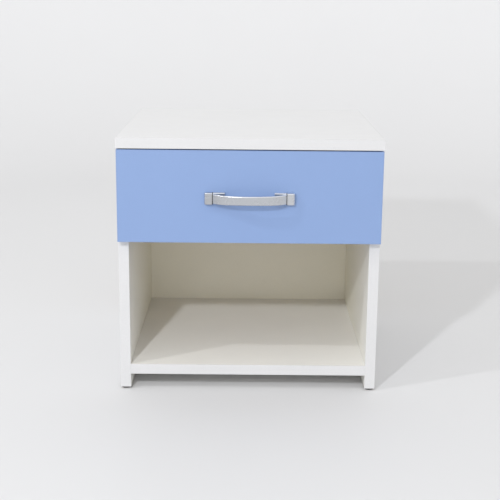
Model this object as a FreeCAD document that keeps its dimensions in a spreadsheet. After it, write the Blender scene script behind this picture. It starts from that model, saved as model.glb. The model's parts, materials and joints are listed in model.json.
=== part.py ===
import FreeCAD, Part
import math
import os
import re

import Sketcher
from FreeCAD import Placement, Rotation, Vector

# Bedside cabinet in melamine-faced board: one overlay drawer on roller runners above an open niche.
# Frame: +Z up, the drawer front faces -Y, origin under the middle of the bounding box.
# All sizes are in millimetres.

doc = FreeCAD.newDocument("bedside_cabinet")

# ------------------------------------------------------------------ driving dimensions

DIMENSIONS = {
    # carcass
    "width": 450,
    "depth": 450,
    "height": 450,
    "board": 18,
    "edging": 1,
    "glide_height": 4,
    "shelf_low": 28,
    "back_sheet": 3,
    "back_setback": 7,
    "groove_depth": 7,
    "groove_play": 0.2,
    "tongue_play": 0.5,
    # drawer front
    "front_side_reveal": 1,
    "front_top_gap": 2,
    "front_back_gap": 2,
    "front_height": 158,
    # drawer box
    "box_board": 12,
    "box_length": 400,
    "box_height": 110,
    "box_lift": 20,
    "box_side_gap": 12.5,
    "box_groove_lift": 12,
    "box_groove_depth": 5,
    # board fittings
    "cam_distance": 24,
    "cam_radius": 7.4,
    "cam_depth": 12.5,
    "cam_bore": 3.8,
    "fitting_play": 0.1,
    "housing_spare": 0.3,
    "hole_spare": 1,
    "small_cam_depth": 9.5,
    "bolt_radius": 2.4,
    "bolt_stub": 11,
    "sleeve_radius": 3.5,
    "sleeve_length": 14,
    "neck_radius": 1.8,
    "bolt_head_radius": 3.2,
    "bolt_head_length": 4.5,
    "bolt_chamfer": 1,
    "thread_chamfer": 0.8,
    "dowel_radius": 4,
    "small_dowel_radius": 3,
    "dowel_length": 30,
    "dowel_chamfer": 1,
    "dowel_face_depth": 11,
    "fitting_front": 50,
    "fitting_back": 70,
    "dowel_offset": 40,
    # runners
    "rail_length": 400,
    "rail_metal": 1.2,
    "rail_setback": 2,
    "rail_head_gap": 1.5,
    "rail_flange": 9.8,
    "box_rail_flange": 9.9,
    "roller_radius": 10.5,
    "roller_width": 7,
    "roller_gap": 0.3,
    "roller_head_gap": 0.5,
    "roller_chamfer": 1,
    "roller_chamfer_width": 0.6,
    "roller_dish": 1,
    "front_roller_gap": 1,
    "rear_roller_gap": 0.9,
    "roller_end": 14,
    "pin_radius": 2,
    "pin_play": 0.05,
    "pin_end_play": 0.2,
    "pin_head_radius": 3.2,
    "pin_head": 0.4,
    "travel": 300,
    "stop_height": 3,
    "stop_length": 4,
    "stop_reach": 8,
    # screws
    "screw_clearance": 0.3,
    "thread_play": 0.05,
    "recess_half": 1.8,
    "recess_slot_half": 0.5,
    "recess_depth": 1.6,
    "euro_radius": 2.5,
    "euro_head_radius": 4.2,
    "euro_head": 1,
    "euro_length": 12,
    "euro_front": 37,
    "euro_lift": 12,
    "euro_pitch": 128,
    "pan_radius": 1.75,
    "pan_head_radius": 3.5,
    "pan_head": 2.2,
    "pan_length": 10,
    "confirmat_radius": 2.5,
    "confirmat_head_radius": 4.2,
    "confirmat_head": 2.2,
    "confirmat_length": 45,
    "confirmat_rim": 0.3,
    # floor glides and bumpers
    "glide_radius": 8.2,
    "glide_inset": 11,
    "nail_radius": 1,
    "nail_head_radius": 2.6,
    "nail_head": 0.8,
    "nail_length": 14,
    "nail_point": 2,
    "nail_seat": 2.8,
    "plastic_edge": 0.8,
    "bumper_radius": 4,
    "bumper_height": 1.7,
    "bumper_inset": 12,
    # handle
    "handle_projection": 28,
    "handle_drop": 1.5,
    "handle_length": 152,
    "handle_centres": 128,
    "foot_length": 34,
    "foot_height": 20,
    "foot_plate": 6,
    "foot_block": 13,
    "foot_block_depth": 9.6,
    "foot_corner": 3,
    "bow_metal": 4,
    "bow_height": 17,
    "bow_waist": 1,
    "bow_groove": 1.2,
    "bow_crown_radius": 200,
    "bow_crown_half": 33,
    "bow_side_radius": 47,
    "metal_edge": 1.5,
    "handle_screw_radius": 1.95,
    "handle_screw_head_radius": 4,
    "handle_screw_head": 2.6,
    "handle_screw_entry": 5,
}

# Places and lengths that follow from the driving dimensions.
DERIVED = {
    "front_y": "(handle_projection - depth) / 2",
    "front_back_y": "front_y + board",
    "carcass_y": "front_back_y + front_back_gap",
    "panel_y": "carcass_y + edging",
    "back_y": "front_y + depth",
    "outer_x": "width / 2",
    "inner_x": "width / 2 - board",
    "side_mid_x": "width / 2 - board / 2",
    "top_low": "height - board",
    "shelf_top": "shelf_low + board",
    "shelf_mid": "shelf_low + board / 2",
    "sheet_back_y": "back_y - back_setback",
    "sheet_front_y": "sheet_back_y - back_sheet",
    "sheet_tongue": "groove_depth - tongue_play",
    "front_half": "outer_x - front_side_reveal",
    "front_high": "top_low - front_top_gap",
    "front_low": "front_high - front_height",
    "handle_z": "(front_high + front_low) / 2 - handle_drop",
    "box_low": "front_low + box_lift",
    "box_high": "box_low + box_height",
    "box_outer_x": "inner_x - box_side_gap",
    "box_inner_x": "box_outer_x - box_board",
    "box_mid_x": "box_outer_x - box_board / 2",
    "box_back_y": "front_back_y + box_length",
    "box_back_front_y": "box_back_y - box_board",
    "box_back_mid_y": "box_back_y - box_board / 2",
    "box_sheet_low": "box_low + box_groove_lift",
    "box_cam_z": "box_low + box_height / 2",
    "cam_front_y": "carcass_y + fitting_front",
    "cam_back_y": "back_y - fitting_back",
    "dowel_front_y": "cam_front_y + dowel_offset",
    "dowel_back_y": "cam_back_y - dowel_offset",
    "rail_front_y": "carcass_y + rail_setback",
    "rail_back_y": "rail_front_y + rail_length",
    "rear_axle_z": "box_low + roller_radius + roller_gap",
    "box_flange_low": "box_low + 2 * roller_radius + roller_gap + roller_head_gap",
    "front_axle_z": "box_flange_low - roller_gap - roller_radius",
    "box_flange_high": "box_flange_low + rail_metal",
    "rail_top_low": "box_flange_high + rail_head_gap",
    "front_axle_y": "rail_front_y + roller_end",
    "rear_axle_y": "box_back_y - roller_end",
    "euro_z": "box_low + euro_lift",
    "euro_y": "carcass_y + euro_front",
    "front_roller_x": "inner_x - rail_metal - front_roller_gap",
    "rear_roller_x": "box_outer_x + rail_metal + rear_roller_gap",
    "glide_front_y": "carcass_y + glide_inset",
    "glide_back_y": "back_y - glide_inset",
    "bow_half": "handle_length / 2 - foot_block - bow_groove",
    "foot_inner_x": "handle_length / 2 - foot_length",
    "bow_crown_y": "front_y - handle_projection + bow_metal + bow_crown_radius",
}

sheet = doc.addObject("Spreadsheet::Sheet", "dims")
for row, (alias, number) in enumerate(DIMENSIONS.items(), start=1):
    sheet.set("A%d" % row, alias)
    sheet.set("B%d" % row, str(number))
    sheet.setAlias("B%d" % row, alias)
doc.recompute()


def bound(text):
    """The FreeCAD expression for a formula written with the plain names above."""
    def name(match):
        word = match.group()
        if word in DERIVED:
            return "(" + bound(DERIVED[word]) + ")"
        return "dims." + word if word in DIMENSIONS else word
    return re.sub(r"[a-z][a-z_]*", name, text)


def value(text):
    """The present number of a formula."""
    return float(sheet.evalExpression(bound(text)))


# ------------------------------------------------------------------ modelling helpers

parts = []
TOUCH = 1e-5    # two places closer than this are the same place


def part(obj, label):
    """Registers a finished sub-part under the name that its file gets."""
    obj.Label = label
    parts.append(obj)
    return obj


def new_body(name):
    return doc.addObject("PartDesign::Body", name)


def new_sketch(body, plane, offset="0"):
    """A sketch on one of the body's origin planes: XY faces +Z, XZ faces -Y, YZ faces +X."""
    sketch = body.newObject("Sketcher::SketchObject", body.Name + "_sketch")
    role = plane + "_Plane"
    origin_plane = [item for item in body.Origin.OriginFeatures if item.Role == role][0]
    sketch.AttachmentSupport = (origin_plane, [""])
    sketch.MapMode = "FlatFace"
    sketch.setExpression("AttachmentOffset.Base.z", bound(offset))
    return sketch


def bind(sketch, *constraint):
    """Adds a dimensional constraint whose last item is a formula."""
    kind, ends, formula = constraint[0], constraint[1:-1], constraint[-1]
    index = sketch.addConstraint(Sketcher.Constraint(kind, *ends, value(formula)))
    sketch.setExpression("Constraints[%d]" % index, bound(formula))


def pin_point(sketch, geometry, vertex, across, along):
    """Fixes a point of the sketch by its two coordinates."""
    bind(sketch, "DistanceX", -1, 1, geometry, vertex, across)
    bind(sketch, "DistanceY", -1, 1, geometry, vertex, along)


def polygon(sketch, corners):
    """A closed outline of straight lines through corners given as formulas."""
    points = [Vector(value(across), value(along), 0) for across, along in corners]
    first = sketch.GeometryCount
    count = len(points)
    for index in range(count):
        line = Part.LineSegment(points[index], points[(index + 1) % count])
        sketch.addGeometry(line, False)
    for index in range(count):
        following = first + (index + 1) % count
        sketch.addConstraint(Sketcher.Constraint("Coincident", first + index, 2, following, 1))
    for index, (across, along) in enumerate(corners):
        pin_point(sketch, first + index, 1, across, along)


def rectangle(sketch, low, high):
    (left, bottom), (right, top) = low, high
    polygon(sketch, [(left, bottom), (right, bottom), (right, top), (left, top)])


def circle(sketch, across, along, radius):
    centre = Vector(value(across), value(along), 0)
    index = sketch.addGeometry(Part.Circle(centre, Vector(0, 0, 1), value(radius)), False)
    bind(sketch, "Radius", index, radius)
    pin_point(sketch, index, 3, across, along)


def pad(body, sketch, length):
    feature = body.newObject("PartDesign::Pad", body.Name + "_pad")
    feature.Profile = sketch
    feature.setExpression("Length", bound(length))
    body.Tip = feature
    return feature


def pocket(body, sketch, depth, along_normal=False):
    """Cuts against the sketch's normal, or along it."""
    feature = body.newObject("PartDesign::Pocket", body.Name + "_pocket")
    feature.Profile = sketch
    feature.Reversed = along_normal
    feature.setExpression("Length", bound(depth))
    body.Tip = feature
    return feature


def drill(body, plane, offset, centres, radius, depth, along_normal=False):
    """Round blind holes of one size, from one plane of the body."""
    sketch = new_sketch(body, plane, offset)
    for across, along in centres:
        circle(sketch, across, along, radius)
    pocket(body, sketch, depth, along_normal)


def board(name, plane, offset, low, high, thickness):
    """A rectangular board between two corners of a plane."""
    body = new_body(name)
    sketch = new_sketch(body, plane, offset)
    rectangle(sketch, low, high)
    pad(body, sketch, thickness)
    return body


def turned(name, outline):
    """A round piece, turned about its own Z axis from a half outline of (radius, height)."""
    body = new_body(name)
    sketch = new_sketch(body, "XZ")
    polygon(sketch, outline)
    feature = body.newObject("PartDesign::Revolution", name + "_turn")
    feature.Profile = sketch
    feature.ReferenceAxis = (sketch, ["V_Axis"])
    feature.Angle = 360
    body.Tip = feature
    return body


def cross_recess(body, height, depth):
    """A cross-head recess, cut down from the piece's top face."""
    reaches = ("recess_half", "recess_slot_half")
    for half_long, half_short in (reaches, reaches[::-1]):
        sketch = new_sketch(body, "XY", height)
        low = ("-" + half_long, "-" + half_short)
        rectangle(sketch, low, (half_long, half_short))
        pocket(body, sketch, depth)


def round_edges(body, radius, keep):
    """Rounds the edges of the body so far whose bounding boxes pass a test."""
    doc.recompute()
    base = body.Tip
    names = ["Edge%d" % (index + 1) for index, edge in enumerate(base.Shape.Edges)
             if keep(edge.BoundBox)]
    fillet = body.newObject("PartDesign::Fillet", body.Name + "_rounding")
    fillet.Base = (base, names)
    fillet.setExpression("Radius", bound(radius))
    body.Tip = fillet


def facing(z_axis, x_axis):
    """The rotation that turns a piece's own Z and X axes to these directions."""
    return Rotation(Vector(*x_axis), Vector(0, 0, 0), Vector(*z_axis), "ZXY")


def linked(source, rotation, across, along, up):
    """One more copy of a piece, turned and moved to a place given as formulas."""
    link = doc.addObject("App::Link", source.Name + "_copy")
    link.LinkedObject = source
    link.Placement = Placement(Vector(0, 0, 0), rotation)
    for axis, formula in zip("xyz", (across, along, up)):
        link.setExpression("Placement.Base." + axis, bound(formula))
    return link


def group(label, copies):
    """One sub-part that is a set of separate identical pieces."""
    compound = doc.addObject("Part::Compound", label)
    compound.Links = copies
    return part(compound, label)


def mirrored(source, label):
    """The same piece on the other side of the cabinet's middle plane."""
    mirror = doc.addObject("Part::Mirroring", label)
    mirror.Source = source
    mirror.Normal = Vector(1, 0, 0)
    return part(mirror, label)


def signed(side, formula):
    return formula if side > 0 else "-(%s)" % formula


CAM_ROWS = ("cam_front_y", "cam_back_y")
DOWEL_ROWS = ("dowel_front_y", "dowel_back_y")
SIDES = (-1, 1)

# Heights above the drawer's cam locks, and distances behind the drawer front, in millimetres.
PEG_RISES = (-30, 30)
BACK_SCREW_RISES = (-15, 35)
RAIL_SCREW_STEPS = (30, 190, 360)

# ------------------------------------------------------------------ carcass boards


def make_side_panels():
    """Left side panel and its mirror image: drilled for shelf, top, rails and glides."""
    body = board("left_side_panel", "YZ", "-outer_x",
                 ("panel_y", "glide_height"), ("back_y", "top_low"), "board")
    inside, edge = "-inner_x", "-side_mid_x"
    groove = new_sketch(body, "YZ", inside)
    rectangle(groove, ("sheet_front_y - groove_play", "glide_height"),
              ("sheet_back_y + groove_play", "top_low"))
    pocket(body, groove, "groove_depth")
    bolt_hole = "bolt_radius + fitting_play"
    dowel_hole = "dowel_radius + fitting_play"
    drill(body, "YZ", inside, [(y, "shelf_mid") for y in CAM_ROWS], bolt_hole, "bolt_stub + hole_spare")
    drill(body, "YZ", inside, [(y, "shelf_mid") for y in DOWEL_ROWS], dowel_hole,
          "dowel_face_depth + hole_spare")
    drill(body, "YZ", inside, [(y, "top_low - cam_distance") for y in CAM_ROWS],
          "cam_radius + fitting_play", "cam_depth + housing_spare")
    drill(body, "YZ", inside, [("euro_y + %d * euro_pitch" % step, "euro_z") for step in range(3)],
          "euro_radius + fitting_play", "euro_length")
    drill(body, "XY", "top_low", [(edge, y) for y in CAM_ROWS], "sleeve_radius + fitting_play",
          "cam_distance")
    drill(body, "XY", "top_low", [(edge, y) for y in DOWEL_ROWS], dowel_hole,
          "dowel_length - dowel_face_depth + hole_spare")
    drill(body, "XY", "glide_height", [(edge, y) for y in ("glide_front_y", "glide_back_y")],
          "nail_radius + fitting_play", "nail_length", along_normal=True)
    part(body, "left_side_panel")
    mirrored(body, "right_side_panel")


def make_top_panel():
    """Full-width top board, drilled from below for the side panels' fittings."""
    half = "outer_x - edging"
    body = board("top_panel", "XY", "top_low", ("-(%s)" % half, "front_y + edging"),
                 (half, "back_y"), "board")
    for rows, radius, depth in ((CAM_ROWS, "bolt_radius", "bolt_stub + hole_spare"),
                                (DOWEL_ROWS, "dowel_radius", "dowel_face_depth + hole_spare")):
        centres = [(signed(side, "side_mid_x"), y) for side in SIDES for y in rows]
        drill(body, "XY", "top_low", centres, radius + " + fitting_play", depth, along_normal=True)
    groove = new_sketch(body, "XY", "top_low")
    rectangle(groove, ("-inner_x - groove_depth", "sheet_front_y - groove_play"),
              ("inner_x + groove_depth", "sheet_back_y + groove_play"))
    pocket(body, groove, "groove_depth", along_normal=True)
    part(body, "top_panel")


def make_bottom_panel():
    """Niche floor between the side panels: cam housings below, bores in both ends."""
    body = board("bottom_panel", "XY", "shelf_low", ("-inner_x", "panel_y"),
                 ("inner_x", "back_y"), "board")
    housings = [(signed(side, "inner_x - cam_distance"), y) for side in SIDES for y in CAM_ROWS]
    drill(body, "XY", "shelf_low", housings, "cam_radius + fitting_play", "cam_depth + housing_spare",
          along_normal=True)
    for side in SIDES:
        end = signed(side, "inner_x")
        drill(body, "YZ", end, [(y, "shelf_mid") for y in CAM_ROWS],
              "sleeve_radius + fitting_play", "cam_distance", along_normal=side < 0)
        drill(body, "YZ", end, [(y, "shelf_mid") for y in DOWEL_ROWS],
              "dowel_radius + fitting_play", "dowel_length - dowel_face_depth + hole_spare",
              along_normal=side < 0)
    groove = new_sketch(body, "XY", "shelf_top")
    rectangle(groove, ("-inner_x", "sheet_front_y - groove_play"),
              ("inner_x", "sheet_back_y + groove_play"))
    pocket(body, groove, "groove_depth")
    part(body, "bottom_panel")


def make_back_panel():
    """Thin hardboard sheet, held in the grooves of the four boards."""
    body = board("back_panel", "XZ", "-sheet_back_y",
                 ("-inner_x - sheet_tongue", "shelf_top - sheet_tongue"),
                 ("inner_x + sheet_tongue", "top_low + sheet_tongue"), "back_sheet")
    part(body, "back_panel")


# ------------------------------------------------------------------ edging strips


def strip(name, length, board_height, rotation, place):
    """An edging strip with rounded outer corners: runs along its own Y, faces its own -X."""
    body = board(name, "XZ", "0", ("0", "0"), ("edging", board_height), length)
    reach = value(length) / 2
    round_edges(body, "edging * 0.6", lambda box: box.XMax < TOUCH and box.YLength > reach)
    body.Placement = Placement(Vector(0, 0, 0), rotation)
    for axis, formula in zip("xyz", place):
        body.setExpression("Placement.Base." + axis, bound(formula))
    return body


# Each strip: length, board thickness that it covers, directions of its own Z and X, start corner.
EDGING = {
    "left_side_edging": [
        ("top_low - glide_height", "board", (-1, 0, 0), (0, 1, 0),
         ("-inner_x", "carcass_y", "glide_height"))],
    "right_side_edging": [
        ("top_low - glide_height", "board", (-1, 0, 0), (0, 1, 0),
         ("outer_x", "carcass_y", "glide_height"))],
    "bottom_edging": [
        ("2 * inner_x", "board", (0, 0, 1), (0, 1, 0), ("-inner_x", "carcass_y", "shelf_low"))],
    "top_edging": [
        ("width", "board", (0, 0, 1), (0, 1, 0), ("-outer_x", "front_y", "top_low")),
        ("depth - edging", "board", (0, 0, 1), (1, 0, 0), ("-outer_x", "back_y", "top_low")),
        ("depth - edging", "board", (0, 0, 1), (-1, 0, 0),
         ("outer_x", "front_y + edging", "top_low"))],
    "drawer_front_edging": [
        ("front_height", "board", (0, 1, 0), (1, 0, 0), ("-front_half", "front_y", "front_low")),
        ("front_height", "board", (0, -1, 0), (-1, 0, 0),
         ("front_half", "front_back_y", "front_low")),
        ("2 * front_half - 2 * edging", "board", (0, 1, 0), (0, 0, -1),
         ("-front_half + edging", "front_y", "front_high")),
        ("2 * front_half - 2 * edging", "board", (0, -1, 0), (0, 0, 1),
         ("-front_half + edging", "front_back_y", "front_low"))],
}


def make_edging():
    for label, strips in EDGING.items():
        bodies = [strip("%s_strip" % label, length, thick, facing(z_axis, x_axis), place)
                  for length, thick, z_axis, x_axis, place in strips]
        if len(bodies) == 1:
            part(bodies[0], label)
        else:
            group(label, bodies)


# ------------------------------------------------------------------ board fittings


def cam_lock(name, depth, bolt_level):
    """An eccentric housing: face at its own z = 0, open towards its own +X for the bolt head."""
    body = new_body(name)
    outline = new_sketch(body, "XY", "-(%s)" % depth)
    circle(outline, "0", "0", "cam_radius")
    pad(body, outline, depth)
    bore = new_sketch(body, "YZ", "-cam_bore")
    circle(bore, "0", "-(%s)" % bolt_level, "cam_bore")
    pocket(body, bore, "2 * cam_radius", along_normal=True)
    cross_recess(body, "0", "recess_depth")
    return body


def cam_bolt():
    """A connecting bolt: threaded stub below its own z = 0, sleeve, neck and head above."""
    head_low = "cam_distance - bolt_head_length / 2"
    head_high = "cam_distance + bolt_head_length / 2 - bolt_chamfer"
    return turned("cam_bolt", [
        ("0", "-bolt_stub"), ("bolt_radius - thread_chamfer", "-bolt_stub"),
        ("bolt_radius", "thread_chamfer - bolt_stub"),
        ("bolt_radius", "0"), ("sleeve_radius", "0"), ("sleeve_radius", "sleeve_length"),
        ("neck_radius", "sleeve_length + bolt_chamfer"), ("neck_radius", head_low),
        ("bolt_head_radius", head_low + " + bolt_chamfer"),
        ("bolt_head_radius", head_high + " - bolt_chamfer"),
        ("neck_radius", head_high), ("0", head_high)])


def dowel(name, radius):
    """A chamfered wooden dowel: its face end below its own z = 0, its edge end above."""
    low, high = "-dowel_face_depth", "dowel_length - dowel_face_depth"
    narrow = radius + " - dowel_chamfer"
    return turned(name, [
        ("0", low), (narrow, low), (radius, low + " + dowel_chamfer"),
        (radius, high + " - dowel_chamfer"), (narrow, high), ("0", high)])


def screw(name, radius, head_radius, head, length):
    """A screw whose head stands on its own z = 0 and whose shank points to its own -Z."""
    body = turned(name, [
        ("0", "-(%s)" % length), (radius + " * 0.3", "-(%s)" % length),
        (radius, "2 * %s - %s" % (radius, length)), (radius, "0"), (head_radius, "0"),
        (head_radius, head + " * 0.5"), (head_radius + " * 0.8", head), ("0", head)])
    cross_recess(body, head, head + " * 0.7")
    return body


def countersunk(name, radius, head_radius, head, length):
    """A countersunk screw: flat head flush with its own z = 0, shank to its own -Z."""
    body = turned(name, [
        ("0", "-(%s)" % length), (radius + " * 0.3", "-(%s)" % length),
        (radius, "2 * %s - %s" % (radius, length)), (radius, "-(%s)" % head),
        (head_radius, "-confirmat_rim"), (head_radius, "0"), ("0", "0")])
    cross_recess(body, "0", "recess_depth")
    return body


def make_carcass_fittings():
    """Cam locks, cam bolts and dowels of the shelf joints and the top joints."""
    lock = cam_lock("cam_lock", "cam_depth", "board / 2")
    bolt = cam_bolt()
    peg = dowel("wooden_dowel", "dowel_radius")
    locks, bolts, pegs = [], [], []
    for side in SIDES:
        joint_x, edge_x = signed(side, "inner_x"), signed(side, "side_mid_x")
        inwards, outwards = (-side, 0, 0), (side, 0, 0)
        for y in CAM_ROWS:
            locks.append(linked(lock, facing((0, 0, -1), outwards),
                                signed(side, "inner_x - cam_distance"), y, "shelf_low"))
            locks.append(linked(lock, facing(inwards, (0, 0, 1)), joint_x, y,
                                "top_low - cam_distance"))
            bolts.append(linked(bolt, facing(inwards, (0, 1, 0)), joint_x, y, "shelf_mid"))
            bolts.append(linked(bolt, facing((0, 0, -1), (0, 1, 0)), edge_x, y, "top_low"))
        for y in DOWEL_ROWS:
            pegs.append(linked(peg, facing(inwards, (0, 1, 0)), joint_x, y, "shelf_mid"))
            pegs.append(linked(peg, facing((0, 0, -1), (0, 1, 0)), edge_x, y, "top_low"))
    group("cam_locks", locks)
    group("cam_bolts", bolts)
    group("wooden_dowels", pegs)


def make_floor_glides():
    """Four round nail-on glides under the side panels, and their nails."""
    nail_clear = "nail_radius + fitting_play"
    head_clear = "nail_head_radius + screw_clearance"
    nail_top = "glide_height + nail_length - hole_spare"
    glide = turned("floor_glide", [
        (head_clear, "0"), ("glide_radius - plastic_edge", "0"), ("glide_radius", "plastic_edge"),
        ("glide_radius", "glide_height"), (nail_clear, "glide_height"), (nail_clear, "nail_seat"),
        (head_clear, "nail_seat")])
    nail = turned("glide_nail", [
        ("0", "nail_seat - nail_head"), ("nail_head_radius", "nail_seat - nail_head"),
        ("nail_head_radius", "nail_seat"), ("nail_radius", "nail_seat"),
        ("nail_radius", nail_top + " - nail_point"), ("0", nail_top)])
    places = [(signed(side, "side_mid_x"), y) for side in SIDES
              for y in ("glide_front_y", "glide_back_y")]
    for label, source in (("floor_glides", glide), ("glide_nails", nail)):
        group(label, [linked(source, Rotation(), x, y, "0") for x, y in places])


# ------------------------------------------------------------------ drawer


def make_drawer_front():
    """Overlay drawer front: the core board, drilled from behind."""
    body = board("drawer_front", "XZ", "-front_back_y", ("edging - front_half", "front_low + edging"),
                 ("front_half - edging", "front_high - edging"), "board")
    back = "-front_back_y"
    handle_holes = [(signed(side, "handle_centres / 2"), "handle_z") for side in SIDES]
    drill(body, "XZ", back, handle_holes, "handle_screw_radius + screw_clearance", "board",
          along_normal=True)
    bolt_holes = [(signed(side, "box_mid_x"), "box_cam_z") for side in SIDES]
    drill(body, "XZ", back, bolt_holes, "bolt_radius + fitting_play", "bolt_stub + hole_spare",
          along_normal=True)
    peg_holes = [(signed(side, "box_mid_x"), "box_cam_z + %d" % rise)
                 for side in SIDES for rise in PEG_RISES]
    drill(body, "XZ", back, peg_holes, "small_dowel_radius + fitting_play", "dowel_face_depth + hole_spare",
          along_normal=True)
    groove = new_sketch(body, "XZ", back)
    half = "box_inner_x + box_groove_depth"
    rectangle(groove, ("-(%s)" % half, "box_sheet_low"),
              (half, "box_sheet_low + back_sheet + 2 * groove_play"))
    pocket(body, groove, "box_groove_depth", along_normal=True)
    part(body, "drawer_front")


def make_drawer_sides():
    """Left drawer side and its mirror image."""
    outer, inner = "-box_outer_x", "-box_inner_x"
    body = board("left_drawer_side", "YZ", outer, ("front_back_y", "box_low"),
                 ("box_back_y", "box_high"), "box_board")
    groove = new_sketch(body, "YZ", inner)
    rectangle(groove, ("front_back_y", "box_sheet_low"),
              ("box_back_y", "box_sheet_low + back_sheet + 2 * groove_play"))
    pocket(body, groove, "box_groove_depth")
    drill(body, "YZ", outer, [("front_back_y + cam_distance", "box_cam_z")],
          "cam_radius + fitting_play", "small_cam_depth + housing_spare", along_normal=True)
    screws = [("box_back_mid_y", "box_cam_z + %d" % rise) for rise in BACK_SCREW_RISES]
    drill(body, "YZ", outer, screws, "confirmat_radius + fitting_play", "box_board",
          along_normal=True)
    drill(body, "YZ", outer, screws, "confirmat_head_radius + fitting_play",
          "confirmat_head", along_normal=True)
    drill(body, "XZ", "-front_back_y", [("-box_mid_x", "box_cam_z")],
          "sleeve_radius + fitting_play", "cam_distance")
    drill(body, "XZ", "-front_back_y",
          [("-box_mid_x", "box_cam_z + %d" % rise) for rise in PEG_RISES],
          "small_dowel_radius + fitting_play", "dowel_length - dowel_face_depth + hole_spare")
    drill(body, "XY", "box_low",
          [("-box_mid_x", "front_back_y + %d" % step) for step in RAIL_SCREW_STEPS],
          "pan_radius + fitting_play", "pan_length", along_normal=True)
    part(body, "left_drawer_side")
    mirrored(body, "right_drawer_side")


def make_drawer_back_and_bottom():
    """Drawer back between the sides, and the thin bottom sheet in the grooves."""
    body = board("drawer_back", "XZ", "-box_back_y", ("-box_inner_x", "box_low"),
                 ("box_inner_x", "box_high"), "box_board")
    groove = new_sketch(body, "XZ", "-box_back_front_y")
    rectangle(groove, ("-box_inner_x", "box_sheet_low"),
              ("box_inner_x", "box_sheet_low + back_sheet + 2 * groove_play"))
    pocket(body, groove, "box_groove_depth")
    for side in SIDES:
        drill(body, "YZ", signed(side, "box_inner_x"),
              [("box_back_mid_y", "box_cam_z + %d" % rise) for rise in BACK_SCREW_RISES],
              "confirmat_radius + fitting_play", "confirmat_length - box_board + hole_spare",
              along_normal=side < 0)
    part(body, "drawer_back")
    tongue = "box_groove_depth - tongue_play"
    sheet_body = board(
        "drawer_bottom", "XY", "box_sheet_low + groove_play",
        ("-box_inner_x - (%s)" % tongue, "front_back_y - (%s)" % tongue),
        ("box_inner_x + %s" % tongue, "box_back_front_y + %s" % tongue), "back_sheet")
    part(sheet_body, "drawer_bottom")


def make_drawer_fittings():
    """Cam locks, bolts, dowels and screws that hold the drawer box together."""
    lock = cam_lock("drawer_cam_lock", "small_cam_depth", "box_board / 2")
    bolt = doc.getObject("cam_bolt")
    peg = dowel("drawer_dowel", "small_dowel_radius")
    long_screw = countersunk("drawer_back_screw", "confirmat_radius", "confirmat_head_radius",
                             "confirmat_head", "confirmat_length")
    bumper = turned("bumper", [
        ("0", "0"), ("bumper_radius", "0"), ("bumper_radius", "bumper_height * 0.4"),
        ("bumper_radius * 0.6", "bumper_height"), ("0", "bumper_height")])
    locks, bolts, pegs, screws, bumpers = [], [], [], [], []
    for side in SIDES:
        mid_x, outer_x = signed(side, "box_mid_x"), signed(side, "box_outer_x")
        outwards = (side, 0, 0)
        locks.append(linked(lock, facing(outwards, (0, -1, 0)), outer_x,
                            "front_back_y + cam_distance", "box_cam_z"))
        bolts.append(linked(bolt, facing((0, 1, 0), (1, 0, 0)), mid_x, "front_back_y", "box_cam_z"))
        for rise in PEG_RISES:
            pegs.append(linked(peg, facing((0, 1, 0), (1, 0, 0)), mid_x, "front_back_y",
                               "box_cam_z + %d" % rise))
        for rise in BACK_SCREW_RISES:
            screws.append(linked(long_screw, facing(outwards, (0, 1, 0)), outer_x,
                                 "box_back_mid_y", "box_cam_z + %d" % rise))
        for height in ("front_low + bumper_inset", "front_high - bumper_inset"):
            bumpers.append(linked(bumper, facing((0, 1, 0), (1, 0, 0)),
                                  signed(side, "side_mid_x"), "front_back_y", height))
    group("drawer_cam_locks", locks)
    group("drawer_cam_bolts", bolts)
    group("drawer_dowels", pegs)
    group("drawer_back_screws", screws)
    group("drawer_bumpers", bumpers)


# ------------------------------------------------------------------ roller runners


def make_cabinet_rails():
    """Channel rail on each side panel, with an out stop pressed up from its lower flange."""
    body = new_body("left_cabinet_rail")
    section = new_sketch(body, "XZ", "-rail_back_y")
    wall, web, lip = "-inner_x", "rail_metal - inner_x", "rail_flange - inner_x"
    low, high = "box_low - rail_metal", "rail_top_low + rail_metal"
    polygon(section, [
        (wall, low), (lip, low), (lip, "box_low"), (web, "box_low"), (web, "rail_top_low"),
        (lip, "rail_top_low"), (lip, high), (wall, high)])
    pad(body, section, "rail_length")
    stop = new_sketch(body, "XY", "box_low")
    stop_back = "rear_axle_y - travel - stop_reach"
    rectangle(stop, ("-front_roller_x", stop_back + " - stop_length"), (lip, stop_back))
    pad(body, stop, "stop_height")
    drill(body, "YZ", web, [("euro_y + %d * euro_pitch" % step, "euro_z") for step in range(3)],
          "euro_radius + fitting_play", "rail_metal")
    drill(body, "YZ", web, [("front_axle_y", "front_axle_z")], "pin_radius + fitting_play",
          "rail_metal")
    part(body, "left_cabinet_rail")
    mirrored(body, "right_cabinet_rail")


def make_drawer_rails():
    """Angled rail under each drawer side: its top flange rides on the front roller."""
    body = new_body("left_drawer_rail")
    section = new_sketch(body, "XZ", "-box_back_y")
    web_out, web_in = "-box_outer_x - rail_metal", "-box_outer_x"
    low, wing = "box_low - rail_metal", "-box_outer_x - box_rail_flange"
    polygon(section, [
        (web_out, low), ("-box_inner_x", low), ("-box_inner_x", "box_low"), (web_in, "box_low"),
        (web_in, "box_flange_high"), (wing, "box_flange_high"), (wing, "box_flange_low"),
        (web_out, "box_flange_low")])
    pad(body, section, "rail_length")
    drill(body, "XY", "box_low",
          [("-box_mid_x", "front_back_y + %d" % step) for step in RAIL_SCREW_STEPS],
          "pan_radius + screw_clearance", "rail_metal")
    drill(body, "YZ", web_in, [("rear_axle_y", "rear_axle_z")], "pin_radius + fitting_play",
          "rail_metal")
    part(body, "left_drawer_rail")
    mirrored(body, "right_drawer_rail")


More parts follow.
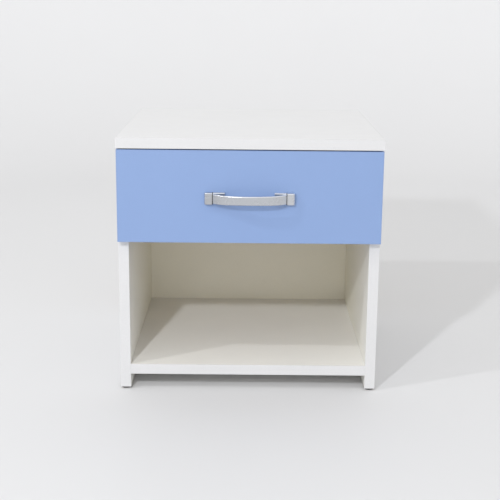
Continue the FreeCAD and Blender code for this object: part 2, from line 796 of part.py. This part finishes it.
def make_rail_screws():
    euro = screw("cabinet_rail_screw", "euro_radius", "euro_head_radius", "euro_head",
                 "euro_length")
    pan = screw("drawer_rail_screw", "pan_radius", "pan_head_radius", "pan_head", "pan_length")
    euros, pans = [], []
    for side in SIDES:
        for step in range(3):
            euros.append(linked(euro, facing((-side, 0, 0), (0, 1, 0)),
                                signed(side, "inner_x - rail_metal"),
                                "euro_y + %d * euro_pitch" % step, "euro_z"))
        for step in RAIL_SCREW_STEPS:
            pans.append(linked(pan, facing((0, 0, -1), (1, 0, 0)), signed(side, "box_mid_x"),
                               "front_back_y + %d" % step, "box_low - rail_metal"))
    group("cabinet_rail_screws", euros)
    group("drawer_rail_screws", pans)


def make_rollers():
    """Nylon rollers with a running bore, and the rivets that they turn on."""
    bore = "pin_radius + pin_play"
    roller = turned("roller", [
        (bore, "0"), ("roller_radius - roller_chamfer", "0"),
        ("roller_radius", "roller_chamfer_width"),
        ("roller_radius", "roller_width - roller_chamfer_width"),
        ("roller_radius - roller_chamfer", "roller_width"), ("roller_radius / 2", "roller_width"),
        ("roller_radius / 2 - roller_dish", "roller_width - roller_dish"),
        (bore, "roller_width - roller_dish")])
    # Own z = 0 is the far side of the rail's web; the pin's head is at the free end.
    pin_end = "rail_metal + front_roller_gap + roller_width + pin_end_play"
    pin = turned("roller_pin", [
        ("0", "0"), ("pin_radius", "0"), ("pin_radius", pin_end), ("pin_head_radius", pin_end),
        ("pin_head_radius", pin_end + " + pin_head"), ("0", pin_end + " + pin_head")])
    fronts, rears = [], []
    for side, word in ((-1, "left"), (1, "right")):
        inwards, outwards = (-side, 0, 0), (side, 0, 0)
        front = linked(roller, facing(inwards, (0, 1, 0)), signed(side, "front_roller_x"),
                       "front_axle_y", "front_axle_z")
        rear = linked(roller, facing(outwards, (0, 1, 0)), signed(side, "rear_roller_x"),
                      "rear_axle_y", "rear_axle_z")
        group(word + "_front_roller", [front])
        group(word + "_rear_roller", [rear])
        fronts.append(linked(pin, facing(inwards, (0, 1, 0)), signed(side, "inner_x"),
                             "front_axle_y", "front_axle_z"))
        rears.append(linked(pin, facing(outwards, (0, 1, 0)), signed(side, "box_outer_x"),
                            "rear_axle_y", "rear_axle_z"))
    group("cabinet_roller_pins", fronts)
    group("drawer_roller_pins", rears)


# ------------------------------------------------------------------ handle


def make_handle_feet():
    """Left foot and its mirror image: a seat plate behind the bow and a block past its end."""
    body = new_body("left_handle_foot")
    outline = new_sketch(body, "XY", "handle_z - foot_height / 2")
    end, block, inner = "-handle_length / 2", "foot_block - handle_length / 2", "-foot_inner_x"
    polygon(outline, [
        (end, "front_y"), (end, "front_y - foot_block_depth"),
        (block, "front_y - foot_block_depth"), (block, "front_y - foot_plate"),
        (inner, "front_y - foot_plate"), (inner, "front_y")])
    pad(body, outline, "foot_height")
    drill(body, "XZ", "-front_y", [("-handle_centres / 2", "handle_z")],
          "handle_screw_radius + thread_play", "handle_screw_entry", along_normal=True)
    corner_x, corner_y = value(end), value("front_y - foot_block_depth")
    round_edges(body, "foot_corner",
                lambda box: box.XMax < corner_x + TOUCH and box.YMax < corner_y + TOUCH)
    face_y = value("front_y")
    low, high = value("handle_z - foot_height / 2"), value("handle_z + foot_height / 2")
    round_edges(body, "metal_edge", lambda box: box.YMax < face_y - TOUCH and (
        box.ZMax < low + TOUCH or box.ZMin > high - TOUCH))
    part(body, "left_handle_foot")
    mirrored(body, "right_handle_foot")


def add_arc(sketch, centre, radius, start, end):
    """An arc from one angle to another, counter-clockwise; gives its number in the sketch."""
    ring = Part.Circle(centre, Vector(0, 0, 1), radius)
    return sketch.addGeometry(Part.ArcOfCircle(ring, start, end), False)


def add_line(sketch, start, end):
    """A line between two points of the sketch, each given as (geometry, vertex)."""
    points = [sketch.getPoint(*start), sketch.getPoint(*end)]
    line = sketch.addGeometry(Part.LineSegment(*points), False)
    sketch.addConstraint(Sketcher.Constraint("Coincident", *start, line, 1))
    sketch.addConstraint(Sketcher.Constraint("Coincident", *end, line, 2))


def arch_block(name, grow):
    """The solid between the drawer face and a three-arc arch that bulges to -Y."""
    body = new_body(name)
    sketch = new_sketch(body, "XY", "handle_z - foot_height / 2")
    crown_radius = "(bow_crown_radius + %s)" % grow
    side_radius = "(bow_side_radius + %s)" % grow
    crown_half = "bow_crown_half * %s / bow_crown_radius" % crown_radius

    crown, side = value(crown_radius), value(side_radius)
    join = math.asin(value(crown_half) / crown)
    side_x = (crown - side) * math.sin(join)
    side_y = value("bow_crown_y") - (crown - side) * math.cos(join)
    foot = math.acos((side_y - value("front_y")) / side)
    ahead = 1.5 * math.pi
    middle = add_arc(sketch, Vector(0, value("bow_crown_y"), 0), crown, ahead - join, ahead + join)
    right = add_arc(sketch, Vector(side_x, side_y, 0), side, ahead + join, ahead + foot)
    left = add_arc(sketch, Vector(-side_x, side_y, 0), side, ahead - foot, ahead - join)

    sketch.addConstraint(Sketcher.Constraint("PointOnObject", middle, 3, -2))
    bind(sketch, "DistanceY", -1, 1, middle, 3, "bow_crown_y")
    bind(sketch, "Radius", middle, crown_radius)
    bind(sketch, "DistanceX", -1, 1, middle, 2, crown_half)
    bind(sketch, "DistanceX", -1, 1, middle, 1, "-" + crown_half)
    sketch.addConstraint(Sketcher.Constraint("Tangent", middle, 2, right, 1))
    sketch.addConstraint(Sketcher.Constraint("Tangent", left, 2, middle, 1))
    for arc, vertex in ((right, 2), (left, 1)):
        bind(sketch, "Radius", arc, side_radius)
        bind(sketch, "DistanceY", -1, 1, arc, vertex, "front_y")
    add_line(sketch, (right, 2), (left, 1))
    pad(body, sketch, "foot_height")
    return body


def bow_outline():
    """The bow's outline from the front, drawn in a little at its waist."""
    body = new_body("bow_outline")
    sketch = new_sketch(body, "XZ", "foot_plate - front_y")
    radius = "(bow_half * bow_half + bow_waist * bow_waist) / (2 * bow_waist)"
    reach, half_turn = value(radius), math.asin(value("bow_half") / value(radius))
    arcs = []
    for side, facing_angle in ((1, 1.5 * math.pi), (-1, 0.5 * math.pi)):
        corner = "handle_z + %d * bow_height / 2" % side
        centre_z = value(corner) + side * (reach - value("bow_waist"))
        arc = add_arc(sketch, Vector(0, centre_z, 0), reach, facing_angle - half_turn,
                      facing_angle + half_turn)
        pin_point(sketch, arc, 1, "-%d * bow_half" % side, corner)
        pin_point(sketch, arc, 2, "%d * bow_half" % side, corner)
        bind(sketch, "Radius", arc, radius)
        arcs.append(arc)
    top, bottom = arcs
    add_line(sketch, (top, 2), (bottom, 1))
    add_line(sketch, (bottom, 2), (top, 1))
    pad(body, sketch, "handle_projection")
    return body


def make_handle_bow():
    """The arched strip between the feet: the arch's plan met with its front outline."""
    plan = doc.addObject("Part::Cut", "bow_plan")
    plan.Base = arch_block("bow_outer_arch", "bow_metal")
    plan.Tool = arch_block("bow_inner_arch", "0")
    bow = doc.addObject("Part::Common", "bow_blank")
    bow.Base = plan
    bow.Tool = bow_outline()
    doc.recompute()
    rounded = doc.addObject("Part::Fillet", "handle_bow")
    rounded.Base = bow
    radius = value("metal_edge")
    rounded.Edges = [(index + 1, radius, radius) for index, edge in enumerate(bow.Shape.Edges)
                     if edge.Length > value("bow_crown_half / 2") and edge.BoundBox.ZLength < 1]
    part(rounded, "handle_bow")


def make_handle_screws():
    """Machine screws through the drawer front into the handle's feet."""
    length = "board + handle_screw_entry - 0.5"
    source = screw("handle_screw", "handle_screw_radius", "handle_screw_head_radius",
                   "handle_screw_head", length)
    group("handle_screws", [
        linked(source, facing((0, 1, 0), (1, 0, 0)), signed(side, "handle_centres / 2"),
               "front_back_y", "handle_z") for side in SIDES])


# ------------------------------------------------------------------ build, check and write


def check_document():
    """Stops if any object failed, any cut removed nothing or any sub-part is not sound."""
    for obj in doc.Objects:
        if "Invalid" in obj.State or "Error" in obj.State:
            raise RuntimeError("%s failed: %s" % (obj.Name, obj.State))
        if obj.TypeId == "PartDesign::Pocket":
            before = obj.BaseFeature.Shape.Volume
            if obj.Shape.Volume > before - 0.01:
                raise RuntimeError("%s of %s cuts nothing" % (obj.Name, obj.getParent().Name))
    for obj in parts:
        if obj.Shape.isNull() or not obj.Shape.isValid() or not obj.Shape.Solids:
            raise RuntimeError("%s has no sound shape" % obj.Label)


def write_parts():
    os.makedirs("parts", exist_ok=True)
    for obj in parts:
        obj.Shape.exportStep("parts/%s.step" % obj.Label)


make_top_panel()
make_side_panels()
make_bottom_panel()
make_back_panel()
make_edging()
make_carcass_fittings()
make_floor_glides()
make_cabinet_rails()
make_drawer_front()
make_drawer_sides()
make_drawer_back_and_bottom()
make_drawer_fittings()
make_drawer_rails()
make_rail_screws()
make_rollers()
make_handle_feet()
make_handle_bow()
make_handle_screws()
doc.recompute()
check_document()
write_parts()
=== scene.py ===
"""Looks of the bedside cabinet: a material for every CAD piece, then floor, light and camera."""

import json
import math

import bpy
from mathutils import Matrix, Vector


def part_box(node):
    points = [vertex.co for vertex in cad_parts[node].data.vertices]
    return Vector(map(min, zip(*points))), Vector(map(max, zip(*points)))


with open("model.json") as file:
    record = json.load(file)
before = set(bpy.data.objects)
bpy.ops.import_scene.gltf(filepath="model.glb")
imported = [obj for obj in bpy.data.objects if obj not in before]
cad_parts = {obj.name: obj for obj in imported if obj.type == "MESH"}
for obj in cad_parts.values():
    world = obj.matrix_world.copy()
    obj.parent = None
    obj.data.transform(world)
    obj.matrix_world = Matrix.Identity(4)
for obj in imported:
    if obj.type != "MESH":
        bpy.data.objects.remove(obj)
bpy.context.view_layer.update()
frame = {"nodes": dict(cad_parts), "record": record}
scene = bpy.context.scene

MM = 0.001


# ---------------------------------------------------------------- material recipes

SOCKETS = {"ior": "IOR", "metallic": "Metallic", "anisotropic": "Anisotropic"}
NOISE_LOW, NOISE_HIGH = 0.3, 0.7    # nearly all of a noise lies between these


class Recipe:
    """One material's node tree, with short calls for the nodes that the materials share."""

    def __init__(self, name, **sockets):
        self.material = bpy.data.materials.new(name)
        self.material.use_nodes = True
        self.tree = self.material.node_tree
        self.shader = self.tree.nodes["Principled BSDF"]
        coordinates = self.tree.nodes.new("ShaderNodeTexCoord")
        self.place = coordinates.outputs["Object"]
        self.facing = coordinates.outputs["Normal"]
        for socket, number in sockets.items():
            self.shader.inputs[SOCKETS[socket]].default_value = number

    def node(self, kind, *inputs, **settings):
        """A node with its settings, its inputs linked or set in order, and None to skip one."""
        made = self.tree.nodes.new(kind)
        for name, setting in settings.items():
            setattr(made, name, setting)
        for socket, given in zip(made.inputs, inputs):
            self.feed(socket, given)
        return made

    def feed(self, socket, given):
        if given is None:
            return
        if isinstance(given, bpy.types.NodeSocket):
            self.tree.links.new(given, socket)
        else:
            socket.default_value = given

    def math(self, operation, *inputs):
        return self.node("ShaderNodeMath", *inputs, operation=operation).outputs[0]

    def ramp(self, value, low, high, to_low=0.0, to_high=1.0):
        """A value carried from one range to another, held at the ends."""
        made = self.node("ShaderNodeMapRange", value, low, high, to_low, to_high)
        return made.outputs[0]

    def spread(self, noise, to_low=0.0, to_high=1.0):
        """Noise carried to the whole of a range."""
        return self.ramp(noise, NOISE_LOW, NOISE_HIGH, to_low, to_high)

    def component(self, vector, axis):
        """One coordinate of a vector: X, Y or Z."""
        return self.node("ShaderNodeSeparateXYZ", vector).outputs["XYZ".index(axis)]

    def stretched(self, stretch):
        """The object's own coordinates, divided by a stretch along each axis."""
        scale = [1 / factor for factor in stretch]
        made = self.node("ShaderNodeVectorMath", self.place, scale, operation="MULTIPLY")
        return made.outputs[0]

    def noise(self, size, detail=2.0, roughness=0.5, stretch=None, shift=0.0):
        """Soft noise whose blobs are about size metres across, from 0 to 1."""
        place = self.stretched(stretch) if stretch else self.place
        if shift:
            place = self.node("ShaderNodeVectorMath", place, (shift, shift, shift)).outputs[0]
        made = self.node("ShaderNodeTexNoise", place)
        made.inputs["Scale"].default_value = 1 / size
        made.inputs["Detail"].default_value = detail
        made.inputs["Roughness"].default_value = roughness
        return made.outputs[0]

    def cells(self, size, randomness=1.0):
        """A Voronoi node with cells about size metres across."""
        made = self.node("ShaderNodeTexVoronoi", self.place)
        made.inputs["Scale"].default_value = 1 / size
        made.inputs["Randomness"].default_value = randomness
        return made

    def cell_tones(self, size):
        """A random number for each cell."""
        colour = self.cells(size).outputs["Color"]
        return self.node("ShaderNodeSeparateColor", colour).outputs[0]

    def blend(self, factor, first, second):
        """A colour between two colours or colour sockets."""
        made = self.tree.nodes.new("ShaderNodeMix")
        made.data_type = "RGBA"
        self.feed(made.inputs[0], factor)
        for socket, given in ((made.inputs[6], first), (made.inputs[7], second)):
            if isinstance(given, tuple):
                given = (*given, 1)
            self.feed(socket, given)
        return made.outputs[2]

    def mix(self, factor, first, second):
        """A number between two numbers or number sockets."""
        made = self.tree.nodes.new("ShaderNodeMix")
        self.feed(made.inputs[0], factor)
        self.feed(made.inputs[2], first)
        self.feed(made.inputs[3], second)
        return made.outputs[0]

    def colour(self, socket):
        self.feed(self.shader.inputs["Base Color"], socket)

    def roughness(self, socket):
        self.feed(self.shader.inputs["Roughness"], socket)

    def bump(self, height, depth):
        """Raises the surface by up to depth metres where height is 1."""
        made = self.tree.nodes.new("ShaderNodeBump")
        made.inputs["Strength"].default_value = 1.0
        made.inputs["Distance"].default_value = depth
        self.feed(made.inputs["Height"], height)
        self.feed(self.shader.inputs["Normal"], made.outputs[0])


def shade(colour, factor):
    return tuple(channel * factor for channel in colour)


SKIN = 0.15 * MM            # how far below a board's face its foil reaches
GLUE_LINE = 0.25 * MM       # width of the line where a board's edging is glued on
GLUE_STRENGTH = 0.3
GLUE = (0.10, 0.09, 0.08)
HANDLE_GROOVE = 1.2 * MM    # joint between the bow and each foot's end block
# painted shade in the joint between the bow and each foot's end block
GROOVE_SHADE = (0.035, 0.036, 0.038)
LEFT_END_SHADE = 0.21                # painted shade: how much darker the handle gets at its left end
LEFT_END_SHADE_FROM, LEFT_END_SHADE_TO = -0.08, 0.065

# painted shade: the edging's white is kept darker than the top's white
WHITE_EDGE_SHADED = (0.682, 0.68, 0.683)
WHITE_INNER_WARM_SHADE = (0.92, 0.882, 0.72)        # the sides' inner faces at the back: creamier, as painted warm shade
WHITE_INNER_FRONT = (0.79, 0.785, 0.745)    # the sides' inner faces at the front, where the painted warm shade fades out
WHITE_FOIL_WARM_BOUNCE = (0.92, 0.903, 0.848)        # shelf and drawer box: lighter and warmer than the top's white, as painted bounce light
WHITE_LACQUER_WARM_SHADE = (0.955, 0.91, 0.75)      # back panel, its lacquer made creamier as painted warm shade
WHITE_TOP = (0.75, 0.75, 0.757)          # top board and the sides' outer faces
BLUE = (0.190, 0.300, 0.576)
CHIP_DARK = (0.23, 0.13, 0.06)
CHIP_MID = (0.46, 0.31, 0.17)
CHIP_LIGHT = (0.62, 0.47, 0.29)
BROWN_FIBRE = (0.20, 0.105, 0.045)


def foil_finish(recipe, colour):
    """Melamine foil: a fine pearl structure, a faint cloudiness and slightly uneven gloss."""
    cloud = recipe.noise(0.06, detail=3)
    pearl = recipe.noise(1.1 * MM, detail=2)
    tone = recipe.ramp(recipe.mix(0.75, cloud, pearl), 0.35, 0.65)
    tint = recipe.blend(tone, shade(colour, 0.97), shade(colour, 1.03))
    smears = recipe.spread(recipe.noise(0.02, detail=3, shift=3), 0.36, 0.43)
    gloss = recipe.math("ADD", smears, recipe.spread(pearl, 0.0, 0.08))
    return tint, gloss, pearl


def beyond(recipe, axis, level):
    """1 where the object's coordinate along an axis, or against it, is past a level."""
    place = recipe.component(recipe.place, axis[-1])
    if axis[0] == "-":
        place = recipe.math("MULTIPLY", place, -1.0)
    return recipe.math("GREATER_THAN", place, level)


def border(recipe, low, high, foil_axis):
    """1 within a glue line's width of the edges of a board's large faces."""
    strips = []
    for index, axis in enumerate("XYZ"):
        if axis != foil_axis:
            strips += [beyond(recipe, axis, high[index] - GLUE_LINE),
                       beyond(recipe, "-" + axis, -low[index] - GLUE_LINE)]
    along = recipe.math("MAXIMUM", strips[0], strips[1])
    across = recipe.math("MAXIMUM", strips[2], strips[3])
    return recipe.math("MAXIMUM", along, across)


def melamine_board(name, node, foil_axis, colour, outer_side="", banded_top=False):
    """A melamine-faced board: foil on its two large faces, bare chipboard on edges and in holes.

    A fine glue line runs round each face. A board with an outer side has the top's clean white
    there, and on its inner side painted warm shade grows creamier from the front towards the back.
    A banded top edge is foiled like the faces.
    """
    recipe = Recipe(name, ior=1.5)
    low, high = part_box(node)
    axis = "XYZ".index(foil_axis)
    on_face = recipe.math("MAXIMUM", beyond(recipe, foil_axis, high[axis] - SKIN),
                          beyond(recipe, "-" + foil_axis, -low[axis] - SKIN))
    if banded_top:
        on_face = recipe.math("MAXIMUM", on_face, beyond(recipe, "Z", high.z - SKIN))

    tint, gloss, pearl = foil_finish(recipe, colour)
    if outer_side:
        outer_level = -low[axis] - SKIN if outer_side[0] == "-" else high[axis] - SKIN
        outer_tint = foil_finish(recipe, WHITE_TOP)[0]
        # painted warm shade: the inner face grows creamier from the front towards the back
        inner_front_share = recipe.ramp(recipe.component(recipe.place, "Y"), low.y, high.y, 1.0, 0.0)
        tint = recipe.blend(inner_front_share, tint, foil_finish(recipe, WHITE_INNER_FRONT)[0])
        tint = recipe.blend(beyond(recipe, outer_side, outer_level), tint, outer_tint)
    glue = recipe.math("MULTIPLY", border(recipe, low, high, foil_axis), GLUE_STRENGTH)
    tint = recipe.blend(glue, tint, GLUE)
    fibres = recipe.noise(0.5 * MM, detail=3, roughness=0.7)
    core = recipe.blend(recipe.cell_tones(2.2 * MM), CHIP_MID, CHIP_LIGHT)
    core = recipe.blend(recipe.ramp(fibres, 0.5, 0.7, 0.0, 0.8), core, CHIP_DARK)

    recipe.colour(recipe.blend(on_face, core, tint))
    recipe.roughness(recipe.mix(on_face, 0.9, gloss))
    relief = recipe.mix(on_face, recipe.math("MULTIPLY", fibres, 3.0), pearl)
    recipe.bump(relief, 0.05 * MM)
    return recipe.material


def edging_plastic(name, colour):
    """Thin plastic edging: the foil's colour, a little smoother than the foil."""
    recipe = Recipe(name, ior=1.5)
    tint, gloss, pearl = foil_finish(recipe, colour)
    recipe.colour(tint)
    recipe.roughness(recipe.math("SUBTRACT", gloss, 0.05))
    recipe.bump(pearl, 0.02 * MM)
    return recipe.material


def lacquered_hardboard(name, colour):
    """Thin fibreboard: white lacquer on its shown face, brown screen-pressed fibre elsewhere."""
    recipe = Recipe(name, ior=1.48)
    tint, gloss, pearl = foil_finish(recipe, colour)
    patches = recipe.spread(recipe.noise(0.11, detail=2, shift=9))
    tint = recipe.blend(patches, recipe.blend(0.02, tint, BROWN_FIBRE), tint)
    forward = recipe.math("MULTIPLY", recipe.component(recipe.facing, "Y"), -1.0)
    shown = recipe.math("MAXIMUM", forward, recipe.component(recipe.facing, "Z"))
    white = recipe.math("GREATER_THAN", shown, 0.5)
    fibres = recipe.noise(0.9 * MM, detail=4, roughness=0.7)
    flecks = recipe.noise(3 * MM, detail=2, shift=5)
    brown = recipe.blend(fibres, BROWN_FIBRE, (0.36, 0.22, 0.11))
    brown = recipe.blend(recipe.ramp(flecks, 0.62, 0.75), brown, (0.12, 0.06, 0.03))
    screen = recipe.cells(1.6 * MM, randomness=0.15).outputs[0]
    recipe.colour(recipe.blend(white, brown, tint))
    recipe.roughness(recipe.mix(white, 0.8, gloss))
    recipe.bump(recipe.mix(white, recipe.math("MULTIPLY", screen, 20.0), pearl), 0.01 * MM)
    return recipe.material


def satin_nickel(name):
    """Satin nickel plate: fine lines along the handle, a painted highlight on upper faces, painted
    shade on lower faces and in the joint grooves.

    It gets a little darker towards the handle's left end, as painted shade.
    """
    recipe = Recipe(name, metallic=1.0, anisotropic=0.3)
    lines = recipe.noise(0.3 * MM, detail=3, roughness=0.6, stretch=(90, 1, 1))
    cloud = recipe.noise(9 * MM, detail=2, shift=2)
    satin = recipe.blend(lines, (0.54, 0.56, 0.595), (0.60, 0.62, 0.655))

    # painted highlight on faces tilted upwards, painted shade on faces tilted downwards
    slope = recipe.component(recipe.facing, "Z")
    edge = recipe.math("MULTIPLY", recipe.ramp(slope, 0.15, 0.45), recipe.ramp(slope, 0.995, 0.95))
    satin = recipe.blend(edge, satin, (0.97, 0.975, 0.98))
    satin = recipe.blend(recipe.ramp(slope, -0.15, -0.5), satin, (0.50, 0.52, 0.55))

    across = recipe.component(recipe.place, "X")
    # painted shade, growing towards the handle's left end
    darker = recipe.ramp(across, LEFT_END_SHADE_FROM, LEFT_END_SHADE_TO, LEFT_END_SHADE, 0.0)
    satin = recipe.blend(darker, satin, (0.0, 0.0, 0.0))
    aside = recipe.math("ABSOLUTE", across)
    bow_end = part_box("handle_bow")[1].x
    # painted shade in the joints between the bow and the feet
    groove = recipe.math("COMPARE", aside, bow_end + HANDLE_GROOVE / 2, HANDLE_GROOVE / 2 + SKIN)
    recipe.colour(recipe.blend(groove, satin, GROOVE_SHADE))
    recipe.roughness(recipe.math("ADD", recipe.spread(lines, 0.0, 0.05),
                                 recipe.spread(cloud, 0.24, 0.29)))
    recipe.bump(lines, 0.004 * MM)
    return recipe.material


def zinc_plate(name):
    """Bright zinc plating with a faint iridescent mottling."""
    recipe = Recipe(name, metallic=1.0)
    tone = recipe.cell_tones(1.4 * MM)
    cloud = recipe.noise(2.5 * MM, detail=3)
    colour = recipe.blend(tone, (0.55, 0.57, 0.60), (0.68, 0.69, 0.70))
    colour = recipe.blend(recipe.ramp(cloud, 0.55, 0.8, 0.0, 0.35), colour, (0.70, 0.64, 0.48))
    recipe.colour(colour)
    recipe.roughness(recipe.spread(cloud, 0.28, 0.42))
    recipe.bump(recipe.noise(0.4 * MM, detail=2), 0.01 * MM)
    return recipe.material


def powder_coat(name):
    """White epoxy powder coat with orange peel."""
    recipe = Recipe(name, ior=1.5)
    peel = recipe.noise(1.6 * MM, detail=1.5)
    cloud = recipe.noise(0.03, detail=3, shift=4)
    recipe.colour(recipe.blend(cloud, (0.72, 0.72, 0.70), (0.77, 0.77, 0.75)))
    recipe.roughness(recipe.spread(peel, 0.30, 0.40))
    recipe.bump(peel, 0.05 * MM)
    return recipe.material


def moulded_plastic(name, colour, gloss, subsurface=0.0):
    """Moulded plastic with a fine spark-eroded grain."""
    recipe = Recipe(name, ior=1.5)
    if subsurface:
        recipe.shader.inputs["Subsurface Weight"].default_value = subsurface
        recipe.shader.inputs["Subsurface Scale"].default_value = 1 * MM
    spark = recipe.noise(0.35 * MM, detail=2)
    cloud = recipe.noise(5 * MM, detail=2, shift=7)
    recipe.colour(recipe.blend(cloud, shade(colour, 0.94), shade(colour, 1.06)))
    recipe.roughness(recipe.spread(spark, gloss - 0.06, gloss + 0.06))
    recipe.bump(spark, 0.03 * MM)
    return recipe.material


def raw_beech(name):
    """Turned beech: short dark ray flecks in a pale pinkish ground."""
    recipe = Recipe(name, ior=1.45)
    rings = recipe.noise(1.2 * MM, detail=3, roughness=0.6, stretch=(6, 6, 1))
    flecks = recipe.noise(0.6 * MM, detail=1, stretch=(3, 3, 1), shift=2)
    ground = recipe.blend(rings, (0.60, 0.40, 0.24), (0.74, 0.55, 0.36))
    recipe.colour(recipe.blend(recipe.ramp(flecks, 0.62, 0.7, 0.0, 0.7), ground,
                               (0.36, 0.20, 0.10)))
    recipe.roughness(recipe.spread(rings, 0.62, 0.74))
    recipe.bump(rings, 0.04 * MM)
    return recipe.material


# ---------------------------------------------------------------- finish of each CAD piece

def paint(node, material):
    """Gives a CAD piece its material."""
    mesh = frame["nodes"][node].data
    mesh.materials.clear()
    mesh.materials.append(material)


def paint_everything():
    """Boards get a material each, because their edges differ. The rest share one for each slot."""
    by_slot = {
        "white_edging": edging_plastic("white_edging", WHITE_EDGE_SHADED),
        "blue_edging": edging_plastic("blue_edging", BLUE),
        "white_hardboard": lacquered_hardboard("white_hardboard", WHITE_LACQUER_WARM_SHADE),
        "zinc_fittings": zinc_plate("zinc_fittings"),
        "beech": raw_beech("beech"),
        "dark_plastic": moulded_plastic("dark_plastic", (0.035, 0.034, 0.033), gloss=0.55),
        "coated_steel": powder_coat("coated_steel"),
        "clear_rubber": moulded_plastic("clear_rubber", (0.66, 0.66, 0.63), gloss=0.35,
                                        subsurface=0.5),
        "satin_nickel": satin_nickel("satin_nickel"),
        "nylon": moulded_plastic("nylon", (0.72, 0.72, 0.69), gloss=0.45, subsurface=0.3),
    }
    boards = {
        "top_panel": ("Z", WHITE_TOP), "bottom_panel": ("Z", WHITE_FOIL_WARM_BOUNCE),
        "left_side_panel": ("X", WHITE_INNER_WARM_SHADE, "-X"), "right_side_panel": ("X", WHITE_INNER_WARM_SHADE, "X"),
        "left_drawer_side": ("X", WHITE_FOIL_WARM_BOUNCE, "", True),
        "right_drawer_side": ("X", WHITE_FOIL_WARM_BOUNCE, "", True),
        "drawer_back": ("Y", WHITE_FOIL_WARM_BOUNCE, "", True), "drawer_front": ("Y", BLUE),
    }
    for entry in frame["record"]["subparts"]:
        node, slot = entry["node"], entry["material_slot"]
        if node in boards:
            paint(node, melamine_board(node + "_board", node, *boards[node]))
        elif node == "drawer_bottom":
            paint(node, lacquered_hardboard("drawer_hardboard", WHITE_FOIL_WARM_BOUNCE))
        else:
            paint(node, by_slot[slot])


paint_everything()


# ---------------------------------------------------------------- stage, light and camera

SKY_STRENGTH = 0.82
SKY_TINT = (1.0, 0.992, 0.965)
KEY_STRENGTH = 13.8
SIDE_STRENGTH = 6.4
LAMP_TINT = (0.985, 1.0, 1.03)
FLOOR_TONE = (0.69, 0.69, 0.698)
FLOOR_STEPS = 128
LENS = 76.9


def turned_mesh(name, outline, steps):
    """A surface turned about the vertical axis from (radius, height) points; the first may be 0."""
    points, faces, rows = [], [], []
    for radius, height in outline:
        count = steps if radius > 0 else 1
        rows.append([len(points) + index for index in range(count)])
        for index in range(count):
            turn = 2 * math.pi * index / count
            points.append((radius * math.cos(turn), radius * math.sin(turn), height))
    for inner, outer in zip(rows, rows[1:]):
        for index in range(steps):
            after = (index + 1) % steps
            ring = [inner[index % len(inner)], outer[index], outer[after]]
            if len(inner) > 1:
                ring.append(inner[after])
            faces.append(ring)
    mesh = bpy.data.meshes.new(name)
    mesh.from_pydata(points, [], faces)
    mesh.shade_smooth()
    made = bpy.data.objects.new(name, mesh)
    scene.collection.objects.link(made)
    return made


def make_floor():
    """A plain pale floor that rises into a wall all round, well behind every camera."""
    radius, bend, height, bend_steps = 4.2, 2.2, 3.0, 24
    outline = [(0, 0), (radius - bend, 0)]
    for step in range(1, bend_steps + 1):
        turn = math.pi / 2 * step / bend_steps
        outline.append((radius - bend + bend * math.sin(turn), bend - bend * math.cos(turn)))
    outline.append((radius, height))
    floor = turned_mesh("studio_floor", outline, FLOOR_STEPS)
    recipe = Recipe("studio_floor", ior=1.45)
    cloud = recipe.noise(0.5, detail=3)
    recipe.colour(recipe.blend(cloud, shade(FLOOR_TONE, 0.99), shade(FLOOR_TONE, 1.01)))
    recipe.roughness(recipe.spread(cloud, 0.55, 0.65))
    floor.data.materials.append(recipe.material)


def make_lamp(name, place, strength, radius):
    """A small soft lamp whose light doesn't fade with distance, as from a long way off."""
    data = bpy.data.lights.new(name, "POINT")
    data.shadow_soft_size = radius
    data.energy = 1.0
    data.color = LAMP_TINT
    data.use_nodes = True
    nodes, links = data.node_tree.nodes, data.node_tree.links
    falloff = nodes.new("ShaderNodeLightFalloff")
    falloff.inputs["Strength"].default_value = strength
    links.new(falloff.outputs["Constant"], nodes["Emission"].inputs["Strength"])
    lamp = bpy.data.objects.new(name, data)
    scene.collection.objects.link(lamp)
    lamp.location = place


def make_light():
    world = bpy.data.worlds.new("studio")
    scene.world = world
    world.use_nodes = True
    background = world.node_tree.nodes["Background"]
    background.inputs["Color"].default_value = (*SKY_TINT, 1)
    background.inputs["Strength"].default_value = SKY_STRENGTH
    front_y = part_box("bottom_edging")[0].y
    make_lamp("key_lamp", (-0.467, front_y - 1.30, 1.008), KEY_STRENGTH, 0.035)
    make_lamp("side_lamp", (-1.292, front_y - 0.70, 1.434), SIDE_STRENGTH, 0.03)


def make_camera():
    """The photograph's view: a long lens, a little above the cabinet, looking slightly down."""
    data = bpy.data.cameras.new("camera")
    data.sensor_width = 36
    data.lens = LENS
    camera = bpy.data.objects.new("camera", data)
    scene.collection.objects.link(camera)
    front_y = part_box("drawer_front_edging")[0].y
    distance, height, aside = 1.766, 0.689, -0.005
    pitch, yaw, roll = math.radians(13.65), math.radians(-0.21), math.radians(0.575)
    turn = (Matrix.Rotation(yaw, 4, "Z") @ Matrix.Rotation(math.pi / 2 - pitch, 4, "X")
            @ Matrix.Rotation(roll, 4, "Z"))
    camera.matrix_world = Matrix.Translation((aside, front_y - distance, height)) @ turn
    scene.camera = camera


make_floor()
make_light()
make_camera()
scene.view_settings.view_transform = "Standard"
scene.view_settings.gamma = 1.2
